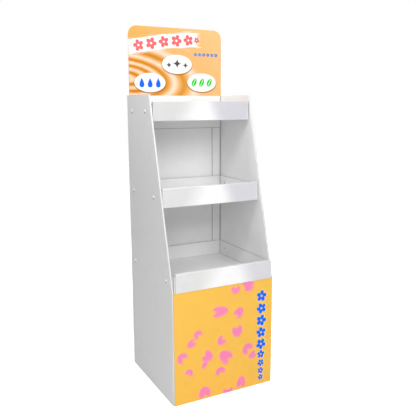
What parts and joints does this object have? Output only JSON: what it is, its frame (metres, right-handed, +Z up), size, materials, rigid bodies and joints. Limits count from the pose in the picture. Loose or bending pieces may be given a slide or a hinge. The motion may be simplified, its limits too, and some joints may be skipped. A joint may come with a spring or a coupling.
{
  "type": "cardboard display stand",
  "caption": "Free-standing folded cardboard display stand with sloping sides, lipped trays riveted between them, a closed base box and a round-cornered header board.",
  "frame": {"origin": "on the floor, under the middle of the stand's overall width and depth", "axes": "+Z up, +X to the right seen from the front, the front with the open shelves faces -Y"},
  "size_m": [0.4064, 0.393, 1.305],
  "materials": {
    "white_board": "clay-coated white corrugated board, matt",
    "header_print_board": "white corrugated board with a printed orange and cream front",
    "tray_board": "white corrugated board, satin varnished on the lips",
    "front_print_board": "white corrugated board with a printed orange front",
    "rivet_plastic": "moulded white polypropylene"
  },
  "bodies": {
    "root": {"shell": "white_board", "header_board": "header_print_board", "top_tray": "tray_board", "middle_tray": "tray_board", "bottom_tray": "tray_board", "base_box": "white_board", "front_panel": "front_print_board", "rivet_buttons": "rivet_plastic", "rivet_sockets": "rivet_plastic"}
  },
  "joints": []
}
